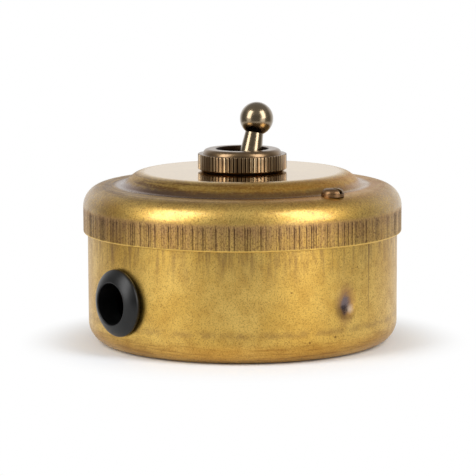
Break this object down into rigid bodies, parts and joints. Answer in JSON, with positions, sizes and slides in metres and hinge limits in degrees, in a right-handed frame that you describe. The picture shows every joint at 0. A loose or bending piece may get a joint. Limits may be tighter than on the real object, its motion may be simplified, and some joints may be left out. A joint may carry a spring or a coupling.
{
  "type": "surface-mounted dolly switch",
  "caption": "Round brass surface-mounted toggle switch: drawn box with rubber cable grommet, knurled lid, knurled dress nut and a ball-ended dolly that tips a rocking contact inside.",
  "frame": {"origin": "centre of the base, on the mounting plane, midway between the two fixing holes", "axes": "+Z out of the wall through the dolly's bush, -X towards the cable entry, fixing holes along Y, the lid's screw towards -Y"},
  "size_m": [0.0768, 0.075, 0.0561],
  "materials": {
    "aged_brass": "aged, satin, with streaks and dark stains",
    "dark_brass": "antique brown, polished",
    "rubber": "matt black",
    "plain_brass": "as machined",
    "steel": "zinc plated",
    "moulding": "moulded thermoset",
    "nylon": "natural",
    "silver": "polished"
  },
  "bodies": {
    "housing": {"box": "aged_brass", "lid": "aged_brass", "dress_nut": "dark_brass", "lid_screw": "dark_brass", "cable_grommet": "rubber", "lid_strap": "plain_brass", "earth_pillar": "plain_brass", "earth_screw": "plain_brass", "bush": "plain_brass", "back_nut": "plain_brass", "feed_terminal": "plain_brass", "strapper_terminal": "plain_brass", "common_terminal": "plain_brass", "terminal_screws": "plain_brass", "yoke": "steel", "pivot_pin": "steel", "lock_washer": "steel", "switch_case": "moulding", "fixed_contacts": "silver"},
    "dolly": {"dolly": "dark_brass", "plunger_spring": "steel"},
    "plunger": {"plunger": "nylon"},
    "rocker": {"rocker": "plain_brass", "rocker_contacts": "silver"}
  },
  "joints": [
    {"name": "dolly_toggle", "type": "hinge", "parent": "housing", "child": "dolly", "pos_m": [0, 0, 0.03198], "axis": [0, 1, 0], "range_deg": [-25, 0]},
    {"name": "plunger_slide", "type": "slide", "parent": "dolly", "child": "plunger", "axis": [0.2164, 0, 0.9763], "range_m": [-0.0005, 0.0002], "stiffness_N_per_m": 300, "springref_m": -0.003, "deforming": ["plunger_spring"]},
    {"name": "rocker_tilt", "type": "hinge", "parent": "housing", "child": "rocker", "pos_m": [0, 0, 0.02148], "axis": [0, 1, 0], "range_deg": [0, 16]}
  ],
  "couplings": [
    {"joint": "rocker_tilt", "follows": "dolly_toggle", "ratio": -0.64}
  ]
}
